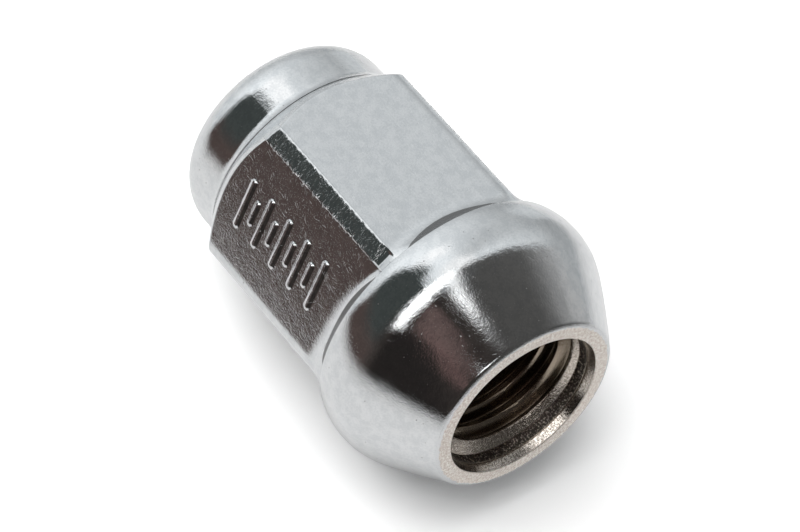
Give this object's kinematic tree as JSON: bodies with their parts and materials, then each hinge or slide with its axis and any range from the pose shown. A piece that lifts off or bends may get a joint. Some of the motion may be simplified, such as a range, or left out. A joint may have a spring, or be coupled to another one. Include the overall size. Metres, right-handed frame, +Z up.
{
  "type": "lug nut",
  "caption": "Closed-end wheel nut: a hexagon with a domed cap, a bulged conical seat and a blind threaded hole that clamps a wheel on its stud.",
  "frame": {"origin": "on the surface the nut lies on, under the middle of its box", "axes": "+X the way the mouth faces, along the nut's length; +Z up. The nut lies on its bulge and on one flat, so its own axis rises 5.55 degrees towards the mouth"},
  "size_m": [0.0338, 0.0224, 0.0223],
  "materials": {
    "plated_steel": "bright zinc-white plating over forged steel, satin on the flats, with a machined matte mouth face"
  },
  "bodies": {
    "root": {"lug_nut": "plated_steel"}
  },
  "joints": []
}
